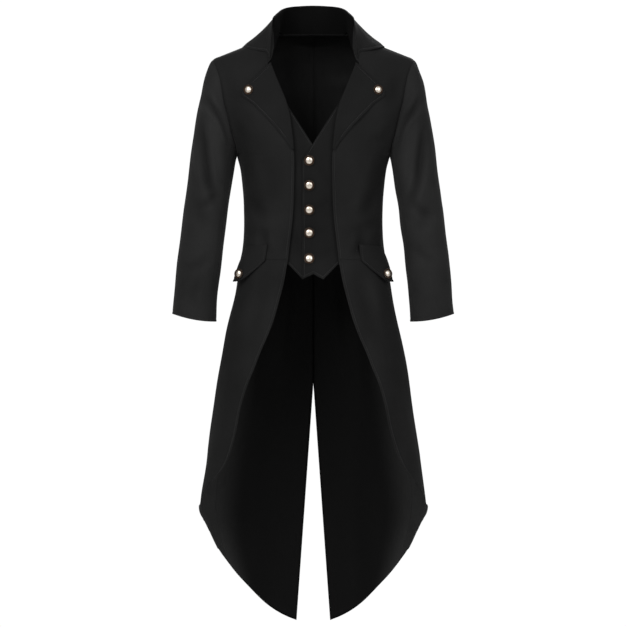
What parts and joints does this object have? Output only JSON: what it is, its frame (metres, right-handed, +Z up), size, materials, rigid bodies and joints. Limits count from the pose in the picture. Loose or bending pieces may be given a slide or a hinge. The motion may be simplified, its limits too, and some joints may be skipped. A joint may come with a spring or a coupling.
{
  "type": "tailcoat with false waistcoat",
  "caption": "Worn tailcoat, hollow: wide fall collar, lapels, cutaway front, two long tails with a back vent, pocket flaps, false waistcoat, domed buttons.",
  "frame": {"origin": "on the centre line, level with the sides of the neck opening, where the shoulders carry the coat", "axes": "+Z up, the coat faces -Y, +X is the wearer's left"},
  "size_m": [0.619, 0.2836, 1.3502],
  "materials": {
    "wool": "matte black wool",
    "sleeve_wool": "matte black wool",
    "waistcoat_wool": "matte black fine wool",
    "lining": "black lining",
    "pale_brass": "worn pale brass"
  },
  "bodies": {
    "root": {"back_left": "wool", "back_right": "wool", "collar": "wool", "flap_button_left": "pale_brass", "flap_button_right": "pale_brass", "front_left": "wool", "front_right": "wool", "lapel_button_left": "pale_brass", "lapel_button_right": "pale_brass", "lapel_left": "wool", "lapel_right": "wool", "lining_back_left": "lining", "lining_back_right": "lining", "lining_tail_left": "lining", "lining_tail_right": "lining", "pocket_flap_left": "wool", "pocket_flap_right": "wool", "skirt_left": "wool", "skirt_right": "wool", "top_sleeve_left": "sleeve_wool", "top_sleeve_right": "sleeve_wool", "under_sleeve_left": "sleeve_wool", "under_sleeve_right": "sleeve_wool", "waistcoat_button_1": "pale_brass", "waistcoat_button_2": "pale_brass", "waistcoat_button_3": "pale_brass", "waistcoat_button_4": "pale_brass", "waistcoat_button_5": "pale_brass", "waistcoat_left": "waistcoat_wool", "waistcoat_right": "waistcoat_wool"}
  },
  "joints": []
}
